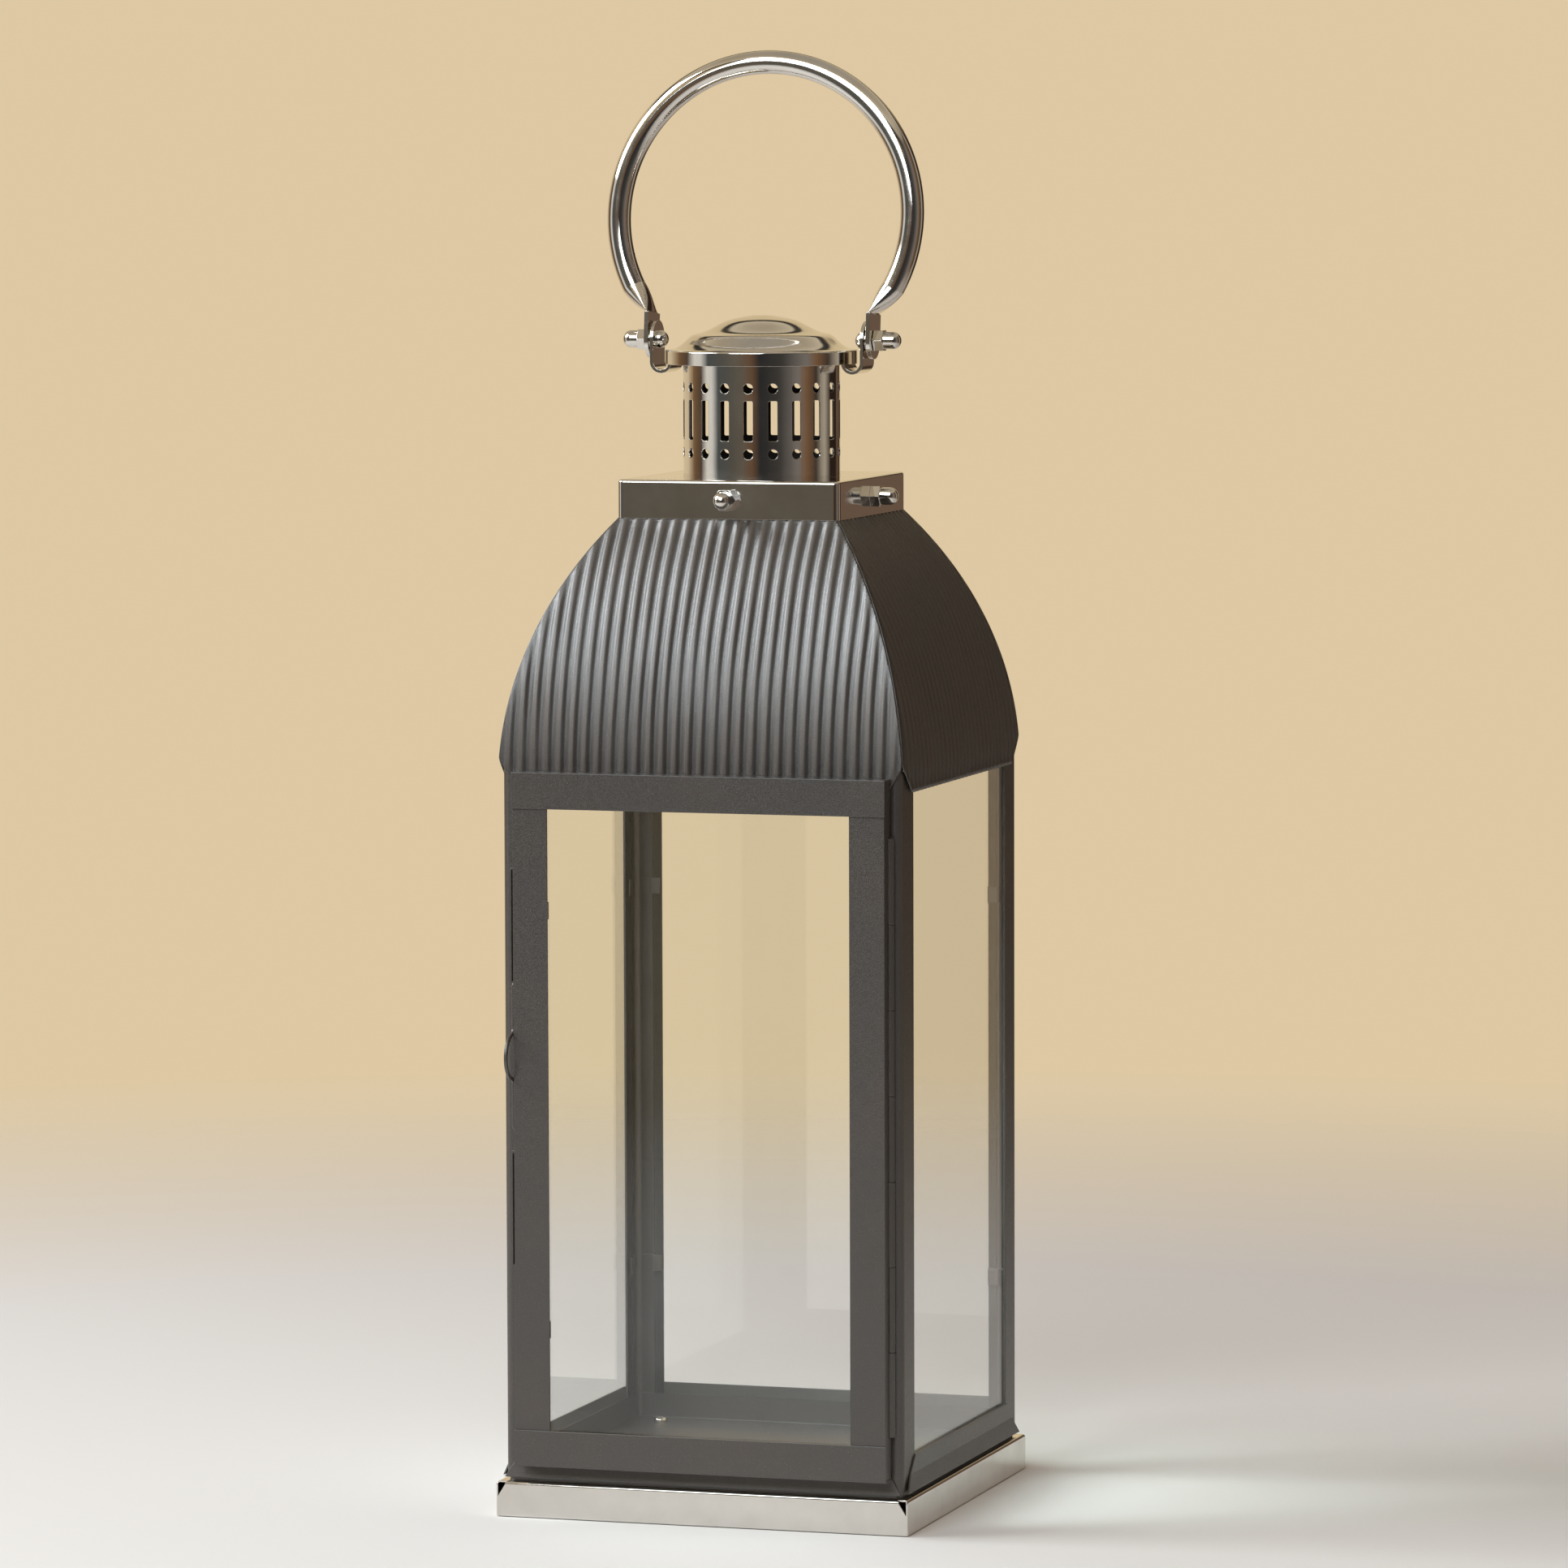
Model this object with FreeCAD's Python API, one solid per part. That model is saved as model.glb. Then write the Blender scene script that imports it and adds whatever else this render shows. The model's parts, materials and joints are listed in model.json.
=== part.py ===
import FreeCAD, Part
import math
import os

# Candle lantern. Sizes in millimetres. The origin is on the floor under the middle of the base.
# +Z is up, the door is at the front, towards -Y, and +X is to the right of the door.

# Base tray
base_width = 200.0
base_height = 16.4
base_sheet = 0.8
base_bend = 1.5
base_edge_round = 0.6
notch_width = 4.4
notch_depth = 7.0

# Body frame
body_width = 193.0
post_sheet = 1.0
post_bend = 4.0
post_front_flange = 15.0
post_side_flange = 19.5
post_lap = 10.0
post_tongue = 17.5
tongue_inset = 0.6
tongue_taper = 1.6
skirt_gap = 2.0
rail_height = 16.0
rail_sheet = 0.8
rail_flare = 1.5
rail_flare_height = 8.0
front_rail_end_gap = 0.3
front_rail_slant = 10.0
side_rail_end_gap = 3.0
side_rail_slant = 16.0

# Floor pan
floor_sheet = 1.0
floor_rim_height = 12.6
floor_corner_ease = 0.2
floor_screw_inset = 19.0

# Roof
eave_height = 341.5
roof_rise = 122.3
roof_sheet = 0.6
rib_pitch = 6.2
rib_depth = 1.4
rib_flat = 1.4
hip_gap = 0.3
front_corner_cut = 7.8
side_corner_cut = 14.2
corner_cut_height = 16.2
roof_flange_height = 16.0

# Collar
collar_width = 108.0
collar_height = 18.0
collar_sheet = 0.8
collar_corner = 3.0
collar_bend = 1.5

# Chimney tube and its openings
chimney_diameter = 73.8
chimney_sheet = 0.8
chimney_flange = 5.6
vent_count = 20
vent_turn = 7.4
vent_hole_diameter = 4.7
vent_hole_low = 11.3
vent_hole_high = 41.9
vent_slot_width = 4.45
vent_slot_low = 17.4
vent_slot_high = 36.1
vent_slot_corner = 0.8

# Lid
lid_diameter = 90.4
lid_sheet = 0.9
lid_rise = 52.5
lid_rim_height = 6.6
lid_rim_round = 0.8
lid_ledge_width = 4.2
lid_ledge_rise = 0.4
lid_seat_rise = 9.6
lid_height = 22.6
lid_ledge_slope = 0.45
# Crown of the lid above its seat: share of the chimney's radius, and height over the rim's lower edge
lid_crown = [(0.885, 13.3), (0.77, 14.5), (0.655, 16.2), (0.43, 20.2), (0.23, 21.9)]

# Handle brackets and pivots
bracket_sheet = 1.5
bracket_width = 18.0
bracket_drop = 4.6
bracket_span = 103.0
bracket_step = 2.4
bracket_top = 6.4
pivot_rise = 11.1
rivet_rise = 4.5
rivet_diameter = 2.0
rivet_head_diameter = 3.2
rivet_head_height = 0.7
washer_diameter = 10.0
washer_sheet = 0.8

# Handle
hoop_radius = 72.0
hoop_rise = 58.3
hoop_tube_diameter = 11.2
hoop_tube_wall = 0.8
hoop_end_angle = 62.0
hoop_lean = 5.7
hoop_drain_angle = 74.0
hoop_drain_diameter = 2.0
tab_sheet = 2.0
tab_width = 17.5
tab_length = 12.5
tab_bend = 20.0
neck_share = 0.46
neck_width = 14.2
neck_thickness = 8.2
neck_bend = 35.0

# Door
door_width = 180.0
door_hinge_inset = 4.2
door_depth = 9.9
door_bottom_rise = 7.2
door_top_lap = 7.3
door_frame_width = 16.8
door_sheet = 0.8
stile_inset = 0.4

# Door hinge
hinge_margin = 20.0
hinge_knuckles = 7
hinge_barrel_diameter = 4.4
hinge_pin_diameter = 2.0
hinge_leaf_sheet = 0.8
hinge_leaf_width = 10.0
hinge_leaf_edge = 0.5
hinge_web = 1.2

# Door pull
pull_wire_diameter = 1.8
pull_drop = 132.3
pull_leg = 20.5
pull_end_bend = 1.1
pull_setback = 3.0
pull_fillet = 3.0
pull_bow_radius = 10.3
pull_turn = 80.0
pull_end_reach = 2.4

# Catch strips
catch_sheet = 0.6
catch_length = 52.0
catch_foot = 4.2
catch_reach = 8.0
catch_lip = 2.0
catch_lip_flare = 1.0
catch_above_pull = 61.0
catch_below_pull = 71.0

# Glass and glazing clips
glass_sheet = 2.0
glass_front_lap = 4.2
glass_side_lap = 7.0
glass_top_lap = 8.0
clip_sheet = 0.6
clip_width = 8.0
clip_reach = 4.0
clip_inset = 60.0

# Fasteners: shank diameter, head diameter, head height, width across flats and lengths of the acorn nut
small_screw = {"shank": 4.0, "head": 6.8, "head_high": 2.6}
large_screw = {"shank": 5.0, "head": 8.6, "head_high": 4.8}
acorn = {"flats": 9.5, "hex": 4.6, "dome": 8.2, "high": 12.6}
floor_nut_flats = 7.0
floor_nut_height = 3.2
thread_reach = 5.0
acorn_crown = 1.8
recess_width = 1.0
recess_share = 0.6
recess_depth = 1.2
head_round_share = 0.45
hex_chamfer = 0.4

# Clearances
hole_clearance = 0.05
fit_clearance = 0.1
side_clearance = 0.3
door_clearance = 0.5

# How far a cutting shape runs past a face, and how close an edge lies to a level it is picked by
overrun = 1.0
near_enough = 0.01

# Levels and half widths that follow from the sizes above
base_half = base_width / 2
body_half = body_width / 2
post_inner = body_half - post_sheet
skirt_bottom = base_height + skirt_gap
floor_top = base_height + floor_sheet
rim_top = base_height + floor_rim_height
post_top = eave_height + post_lap
tongue_top = eave_height + post_tongue
collar_bottom = eave_height + roof_rise
collar_top = collar_bottom + collar_height
collar_half = collar_width / 2
collar_inner = collar_half - collar_sheet
chimney_radius = chimney_diameter / 2
lid_radius = lid_diameter / 2
lid_bottom = collar_top + lid_rise
lid_seat = lid_bottom + lid_seat_rise - lid_sheet
pivot_height = lid_bottom + pivot_rise
ear_inner = (bracket_span - bracket_sheet) / 2
ear_outer = ear_inner + bracket_sheet
tab_inner = ear_outer + washer_sheet + side_clearance
tab_middle = tab_inner + tab_sheet / 2
nut_seat = tab_inner + tab_sheet + side_clearance

os.makedirs("parts", exist_ok=True)
V = FreeCAD.Vector
ORIGIN = V(0, 0, 0)
X_AXIS = V(1, 0, 0)
Y_AXIS = V(0, 1, 0)
Z_AXIS = V(0, 0, 1)


def save(name, shape):
    shape.exportStep("parts/" + name + ".step")
    print(name, len(shape.Solids), round(shape.Volume, 1), shape.isValid())


def group(shapes):
    return Part.makeCompound([solid for shape in shapes for solid in shape.Solids])


def block(x0, x1, y0, y1, z0, z1):
    return Part.makeBox(x1 - x0, y1 - y0, z1 - z0, V(x0, y0, z0))


def rod(radius, start, direction, length):
    return Part.makeCylinder(radius, length, start, direction)


def hole_radius(shank):
    return shank / 2 + hole_clearance


def prism(points, direction):
    return Part.Face(Part.makePolygon(points + [points[0]])).extrude(direction)


def rounded(shape, radius, keep):
    return shape.makeFillet(radius, [edge for edge in shape.Edges if keep(edge.BoundBox)])


def upright(box):
    return box.ZLength > box.XLength and box.ZLength > box.YLength


def turned(shape, angle):
    copy = shape.copy()
    copy.rotate(ORIGIN, Z_AXIS, angle)
    return copy


def mirrored(shape, normal):
    return shape.mirror(ORIGIN, normal)


def four_corners(shape):
    right = [shape, mirrored(shape, Y_AXIS)]
    return right + [mirrored(piece, X_AXIS) for piece in right]


def both_sides(shape):
    return group([shape, mirrored(shape, X_AXIS)])


def pan_head_screw(sizes, length):
    # The seat of the head is at the origin, the shank runs along +X and the head is on the other side
    radius = sizes["head"] / 2
    high = sizes["head_high"]
    head = rod(radius, V(-high, 0, 0), X_AXIS, high)
    head = rounded(head, high * head_round_share, lambda box: box.XMax < near_enough - high)
    arm = sizes["head"] * recess_share / 2
    half = recess_width / 2
    floor = -high + recess_depth
    outside = -high - overrun
    head = head.cut(block(outside, floor, -arm, arm, -half, half))
    head = head.cut(block(outside, floor, -half, half, -arm, arm))
    return head.fuse(rod(sizes["shank"] / 2, ORIGIN, X_AXIS, length)).removeSplitter()


def round_head_screw(sizes, length):
    # As the pan-headed screw, with a plain ball-shaped head
    radius = sizes["head"] / 2
    neck = sizes["head_high"] - radius
    ball = Part.makeSphere(radius, V(-neck, 0, 0))
    head = ball.common(block(-2 * radius, -neck, -radius, radius, -radius, radius))
    head = head.fuse(rod(radius, V(-neck, 0, 0), X_AXIS, neck))
    return head.fuse(rod(sizes["shank"] / 2, ORIGIN, X_AXIS, length)).removeSplitter()


def hexagon(flats, height):
    # A hexagonal bar along +X from the origin, with its corners chamfered at the far end
    corner = flats / math.sqrt(3)
    points = [V(0, corner * math.cos(math.radians(60 * i)), corner * math.sin(math.radians(60 * i)))
              for i in range(6)]
    bar = prism(points, X_AXIS * height)
    cap = rod(corner, ORIGIN, X_AXIS, height)
    far_edges = [edge for edge in cap.Edges if edge.BoundBox.XMin > height - near_enough]
    return bar.common(cap.makeChamfer(hex_chamfer, far_edges))


def acorn_nut():
    # The seat is at the origin and the dome points along +X
    radius = acorn["dome"] / 2
    neck = acorn["high"] - radius
    nut = hexagon(acorn["flats"], acorn["hex"])
    nut = nut.fuse(rod(radius, ORIGIN, X_AXIS, neck))
    nut = nut.fuse(Part.makeSphere(radius, V(neck, 0, 0)))
    bore = rod(hole_radius(large_screw["shank"]), ORIGIN, X_AXIS, acorn["high"] - acorn_crown)
    return nut.removeSplitter().cut(bore)


def moved(shape, position):
    copy = shape.copy()
    copy.translate(position)
    return copy


def aimed_up(shape):
    copy = shape.copy()
    copy.rotate(ORIGIN, Y_AXIS, -90)
    return copy


# Base tray: an upside-down pan with closed corners and a relief notch at the top of each
def base_tray():
    tray = block(-base_half, base_half, -base_half, base_half, 0, base_height)
    tray = rounded(tray, base_edge_round, upright)
    tray = rounded(tray, base_bend, lambda box: box.ZMin > base_height - near_enough)
    half = base_half - base_sheet
    ceiling = base_height - base_sheet
    hollow = block(-half, half, -half, half, -overrun, ceiling)
    hollow = rounded(hollow, base_bend - base_sheet, lambda box: box.ZMin > ceiling - near_enough)
    tray = tray.cut(hollow)
    knee = base_height - notch_depth
    front = -base_half - overrun
    top = base_height + overrun
    outline = [V(half, front, knee), V(half, front, top), V(half - notch_width, front, top),
               V(half - notch_width, front, base_height)]
    notch = prism(outline, Y_AXIS * (overrun + base_bend))
    return tray.cut(group(four_corners(notch))).cut(group(floor_holes()))


def floor_places():
    reach = body_half - floor_screw_inset
    return [V(x, y, 0) for x in (-reach, reach) for y in (-reach, reach)]


def floor_holes():
    radius = hole_radius(small_screw["shank"])
    return [rod(radius, place, Z_AXIS, rim_top) for place in floor_places()]


# Floor pan: stands on the base tray, inside the posts
def floor_pan():
    corner = post_bend - post_sheet + floor_corner_ease
    pan = block(-post_inner, post_inner, -post_inner, post_inner, base_height, rim_top)
    pan = rounded(pan, corner, upright)
    half = post_inner - floor_sheet
    hollow = block(-half, half, -half, half, floor_top, rim_top + overrun)
    pan = pan.cut(rounded(hollow, corner - floor_sheet, upright))
    return pan.cut(group(floor_holes()))


def floor_fasteners():
    stack = floor_sheet + base_sheet
    screw = aimed_up(pan_head_screw(small_screw, stack + thread_reach))
    screw.rotate(ORIGIN, X_AXIS, 180)
    nut = aimed_up(hexagon(floor_nut_flats, floor_nut_height))
    nut = nut.cut(rod(hole_radius(small_screw["shank"]), ORIGIN, Z_AXIS, floor_nut_height))
    nut.rotate(ORIGIN, X_AXIS, 180)
    screws = [moved(screw, place + V(0, 0, floor_top)) for place in floor_places()]
    nuts = [moved(nut, place + V(0, 0, base_height - base_sheet)) for place in floor_places()]
    return group(screws), group(nuts)


# Corner post: a bent angle, drawn at the front right corner.
# Its corner reaches up as a tongue behind the gap between two roof panels.
def corner_post():
    outer = post_bend
    inner = post_bend - post_sheet
    centre = V(body_half - outer, outer - body_half, skirt_bottom)
    slant = V(math.sqrt(0.5), -math.sqrt(0.5), 0)
    corner = V(body_half, -body_half, skirt_bottom)
    front_end = corner + V(-post_front_flange, 0, 0)
    side_end = corner + V(0, post_side_flange, 0)
    edges = [
        Part.makeLine(front_end, centre + V(0, -outer, 0)),
        Part.Arc(centre + V(0, -outer, 0), centre + slant * outer, centre + V(outer, 0, 0)).toShape(),
        Part.makeLine(centre + V(outer, 0, 0), side_end),
        Part.makeLine(side_end, side_end + V(-post_sheet, 0, 0)),
        Part.makeLine(side_end + V(-post_sheet, 0, 0), centre + V(inner, 0, 0)),
        Part.Arc(centre + V(inner, 0, 0), centre + slant * inner, centre + V(0, -inner, 0)).toShape(),
        Part.makeLine(centre + V(0, -inner, 0), front_end + V(0, post_sheet, 0)),
        Part.makeLine(front_end + V(0, post_sheet, 0), front_end),
    ]
    post = Part.Face(Part.Wire(edges)).extrude(Z_AXIS * (tongue_top - skirt_bottom))
    low = body_half - post_bend + tongue_inset
    far = body_half - post_side_flange - overrun
    back = -body_half - overrun
    outline = [V(far, back, post_top), V(low, back, post_top), V(low + tongue_taper, back, tongue_top),
               V(far, back, tongue_top)]
    trim = prism(outline, Y_AXIS * (overrun + post_bend))
    return post.cut(trim).cut(trim.mirror(ORIGIN, X_AXIS + Y_AXIS))


# Bottom rail: a strip on the outside of the posts, drawn at the front
def bottom_rail(end_gap, slant):
    top = skirt_bottom + rail_height
    knee = skirt_bottom + rail_flare_height
    face = body_half + rail_sheet
    reach = body_half - end_gap
    section = [V(-reach, -body_half, top), V(-reach, -face, top), V(-reach, -face, knee),
               V(-reach, -face - rail_flare, skirt_bottom), V(-reach, -body_half - rail_flare, skirt_bottom),
               V(-reach, -body_half, knee)]
    strip = prism(section, X_AXIS * (2 * reach))
    front = -face - rail_flare - overrun
    outline = [V(-reach, front, skirt_bottom), V(reach, front, skirt_bottom),
               V(reach - slant, front, top), V(slant - reach, front, top)]
    return strip.common(prism(outline, Y_AXIS * (rail_sheet + rail_flare + 2 * overrun)))


# Roof curve: an arc that starts upright at the eave and ends under the collar.
# The valleys of the ribs touch the posts at their top ends.
def roof_curve():
    ease = 0.0
    for _ in range(5):
        half = body_half + (rib_depth + roof_sheet) / 2 + ease
        run = half - collar_inner
        radius = (roof_rise ** 2 + run ** 2) / (2 * run)
        ease = radius - math.sqrt(radius ** 2 - post_lap ** 2)
    return half, radius


eave_half, roof_radius = roof_curve()
roof_outer = eave_half + (rib_depth + roof_sheet) / 2


# Line of the ribs across the front: flat tops and flat valleys with sloping sides between them
def rib_line(depth, reach):
    half = rib_pitch / 2
    flat = rib_flat / 2
    bulge = rib_depth / 2
    count = math.ceil(reach / half)
    points = []
    for i in range(-count, count + 1):
        level = depth - bulge if i % 2 == 0 else depth + bulge
        points += [V(i * half - flat, level, eave_height), V(i * half + flat, level, eave_height)]
    return points


# Roof panel: a ribbed sheet bent to the roof curve, drawn at the front
def roof_panel(corner_cut):
    reach = eave_half + rib_pitch
    outer = rib_line(-eave_half - roof_sheet / 2, reach)
    inner = rib_line(-eave_half + roof_sheet / 2, reach)
    outline = outer + inner[::-1] + [outer[0]]
    sweep = math.degrees(math.asin(roof_rise / roof_radius))
    axis = V(0, roof_radius - eave_half, eave_height)
    sheet = Part.Face(Part.makePolygon(outline)).revolve(axis, -X_AXIS, sweep + overrun)
    far = 2 * reach
    floor = eave_height - overrun
    hip = [V(0, -hip_gap, floor), V(-far, -far - hip_gap, floor), V(far, -far - hip_gap, floor)]
    wedge = prism(hip, Z_AXIS * (roof_rise + overrun - fit_clearance))
    low = eave_half - corner_cut
    slope = corner_cut / corner_cut_height
    high = low + slope * roof_rise
    front = -eave_half - rib_pitch
    corners = [V(-low, front, eave_height), V(low, front, eave_height),
               V(high, front, collar_bottom), V(-high, front, collar_bottom)]
    sheet = sheet.common(wedge).common(prism(corners, Y_AXIS * reach))
    face = collar_inner
    inside = face - roof_sheet
    side = collar_half - collar_corner - fit_clearance
    top = collar_bottom + roof_flange_height
    root = collar_bottom - fit_clearance - rib_depth
    flange = block(-side, side, -face, -inside, root, top)
    flange = flange.cut(rod(hole_radius(large_screw["shank"]), collar_screw_place(), -Y_AXIS, face))
    return sheet.fuse(flange).removeSplitter()


def collar_screw_place():
    return V(0, 0, collar_bottom + collar_height / 2)


# Collar: a square cap around the top of the roof, with a round opening for the chimney
def collar():
    cap = block(-collar_half, collar_half, -collar_half, collar_half, collar_bottom, collar_top)
    cap = rounded(cap, collar_corner, upright)
    cap = rounded(cap, collar_bend, lambda box: box.ZMin > collar_top - near_enough)
    half = collar_inner
    ceiling = collar_top - collar_sheet
    hollow = block(-half, half, -half, half, collar_bottom - overrun, ceiling)
    hollow = rounded(hollow, collar_corner - collar_sheet, upright)
    hollow = rounded(hollow, collar_bend - collar_sheet, lambda box: box.ZMin > ceiling - near_enough)
    under = V(0, 0, ceiling - overrun)
    opening = rod(chimney_radius + fit_clearance, under, Z_AXIS, collar_sheet + 2 * overrun)
    radius = hole_radius(large_screw["shank"])
    ways = (X_AXIS, -X_AXIS, Y_AXIS, -Y_AXIS)
    bores = [rod(radius, collar_screw_place(), way, collar_width) for way in ways]
    return cap.cut(hollow).cut(opening).cut(group(bores))


def collar_fasteners():
    seat = collar_inner - roof_sheet
    stack = collar_half - seat
    screw = moved(round_head_screw(large_screw, stack + thread_reach), collar_screw_place() + V(seat, 0, 0))
    nut = moved(acorn_nut(), collar_screw_place() + V(collar_half, 0, 0))
    turns = (0, 90, 180, 270)
    return group([turned(screw, turn) for turn in turns]), group([turned(nut, turn) for turn in turns])


# Chimney tube: hangs by a flange under the top of the collar, and is pierced all round
def chimney_tube():
    inside = chimney_radius - chimney_sheet
    ceiling = collar_top - collar_sheet
    foot = ceiling - chimney_sheet
    tube = rod(chimney_radius, V(0, 0, foot), Z_AXIS, lid_seat - fit_clearance - foot)
    tube = tube.fuse(rod(chimney_radius + chimney_flange, V(0, 0, foot), Z_AXIS, chimney_sheet))
    tube = tube.cut(rod(inside, V(0, 0, foot - overrun), Z_AXIS, lid_seat - foot + 2 * overrun))
    start = V(0, overrun - inside, 0)
    through = chimney_sheet + 2 * overrun
    half = vent_slot_width / 2
    low = collar_top + vent_slot_low
    slot = block(-half, half, start.y - through, start.y, low, collar_top + vent_slot_high)
    slot = rounded(slot, vent_slot_corner, lambda box: max(box.XLength, box.ZLength) < near_enough)
    holes = [rod(vent_hole_diameter / 2, start + V(0, 0, collar_top + rise), -Y_AXIS, through)
             for rise in (vent_hole_low, vent_hole_high)]
    cutters = [turned(cutter, vent_turn + 360 * i / vent_count)
               for i in range(vent_count) for cutter in holes + [slot]]
    place = V(inside - overrun, 0, lid_bottom + rivet_rise)
    rivet = rod(hole_radius(rivet_diameter), place, X_AXIS, through)
    return tube.cut(group(cutters)).cut(both_sides(rivet))


# Lid: a spun bell with an upright rim, closed at the top
def chimney_lid():
    ledge_in = lid_radius - lid_ledge_width
    ledge = lid_bottom + lid_rim_height
    heights = [(ledge_in, lid_rim_height + lid_ledge_rise), (chimney_radius, lid_seat_rise)]
    heights += [(share * chimney_radius, height) for share, height in lid_crown]
    heights += [(0, lid_height)]
    outer = [V(radius, 0, lid_bottom + height) for radius, height in heights]
    drop = V(0, 0, -lid_sheet)
    crown = Part.BSplineCurve()
    crown.interpolate(Points=outer, InitialTangent=V(-1, 0, lid_ledge_slope), FinalTangent=V(-1, 0, 0))
    under = crown.copy()
    under.translate(drop)
    rim = lid_radius - lid_sheet
    bend = V(lid_radius - lid_rim_round, 0, ledge - lid_rim_round)
    tilt = math.sqrt(0.5) * lid_rim_round
    side = bend + V(lid_rim_round, 0, 0)
    top = bend + V(0, 0, lid_rim_round)
    edges = [
        Part.makeLine(V(rim, 0, lid_bottom), V(lid_radius, 0, lid_bottom)),
        Part.makeLine(V(lid_radius, 0, lid_bottom), side),
        Part.Arc(side, bend + V(tilt, 0, tilt), top).toShape(),
        Part.makeLine(top, outer[0]),
        crown.toShape(),
        Part.makeLine(outer[-1], outer[-1] + drop),
        under.toShape(),
        Part.makeLine(outer[0] + drop, V(rim, 0, ledge - lid_sheet)),
        Part.makeLine(V(rim, 0, ledge - lid_sheet), V(rim, 0, lid_bottom)),
    ]
    return Part.Face(Part.Wire(Part.__sortEdges__(edges))).revolve(ORIGIN, Z_AXIS, 360)


# Handle bracket, on the right: its ear stands outside the lid, and its leg turns up inside the rim
# and steps in to the chimney
def handle_bracket():
    half = bracket_width / 2
    leg_outer = math.sqrt((lid_radius - lid_sheet) ** 2 - half ** 2) - side_clearance
    leg_inner = leg_outer - bracket_sheet
    outer = (ear_outer - leg_inner) / 2
    middle = (ear_outer + leg_inner) / 2
    level = lid_bottom - bracket_drop + outer
    step = lid_bottom + bracket_step
    bend = rod(outer, V(middle, -half, level), Y_AXIS, bracket_width)
    bend = bend.cut(rod(outer - bracket_sheet, V(middle, -half, level), Y_AXIS, bracket_width))
    bend = bend.common(block(leg_inner, ear_outer, -half, half, level - outer, level))
    foot = chimney_radius + bracket_sheet
    low = step - bracket_sheet
    strip = bend.fuse(block(leg_inner, leg_outer, -half, half, level, step))
    strip = strip.fuse(block(chimney_radius, leg_outer, -half, half, low, step))
    strip = strip.fuse(block(chimney_radius, foot, -half, half, low, lid_bottom + bracket_top))
    strip = strip.fuse(block(ear_inner, ear_outer, -half, half, level, pivot_height))
    strip = strip.fuse(rod(half, V(ear_inner, 0, pivot_height), X_AXIS, bracket_sheet)).removeSplitter()
    through = bracket_sheet + 2 * overrun
    pivot = rod(hole_radius(large_screw["shank"]), V(ear_inner - overrun, 0, pivot_height), X_AXIS, through)
    place = V(chimney_radius - overrun, 0, lid_bottom + rivet_rise)
    rivet = rod(hole_radius(rivet_diameter), place, X_AXIS, through)
    return strip.cut(pivot).cut(rivet)


# Rivet: through the foot of the bracket and the wall of the chimney, with a head at each end
def bracket_rivet():
    inside = chimney_radius - chimney_sheet
    outside = chimney_radius + bracket_sheet
    place = V(0, 0, lid_bottom + rivet_rise)
    head = rivet_head_diameter / 2
    seat = math.sqrt(inside ** 2 - head ** 2)
    shank = rod(rivet_diameter / 2, place + V(seat, 0, 0), X_AXIS, outside - seat)
    near = rod(head, place + V(seat - rivet_head_height, 0, 0), X_AXIS, rivet_head_height)
    far = rod(head, place + V(outside, 0, 0), X_AXIS, rivet_head_height)
    return shank.fuse(near).fuse(far).removeSplitter()


def pivot_hardware():
    place = V(0, 0, pivot_height)
    length = nut_seat - ear_inner + thread_reach
    screw = moved(round_head_screw(large_screw, length), place + V(ear_inner, 0, 0))
    face = place + V(ear_outer, 0, 0)
    washer = rod(washer_diameter / 2, face, X_AXIS, washer_sheet)
    washer = washer.cut(rod(hole_radius(large_screw["shank"]), face, X_AXIS, washer_sheet))
    nut = moved(acorn_nut(), place + V(nut_seat, 0, 0))
    return both_sides(screw), both_sides(washer), both_sides(nut)


# An oval across the right arm of the handle, in the plane that is turned outwards by the tilt
def arm_section(x, z, width, thickness, tilt):
    along = V(math.sin(math.radians(tilt)), 0, math.cos(math.radians(tilt)))
    if width > thickness:
        curve = Part.Ellipse(ORIGIN, width / 2, thickness / 2)
    else:
        curve = Part.Circle(ORIGIN, Z_AXIS, width / 2)
    wire = Part.Wire(curve.toShape())
    turn = FreeCAD.Rotation(Y_AXIS, along.cross(Y_AXIS), along, "ZXY")
    wire.Placement = FreeCAD.Placement(V(x, 0, z), turn)
    return wire


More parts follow.
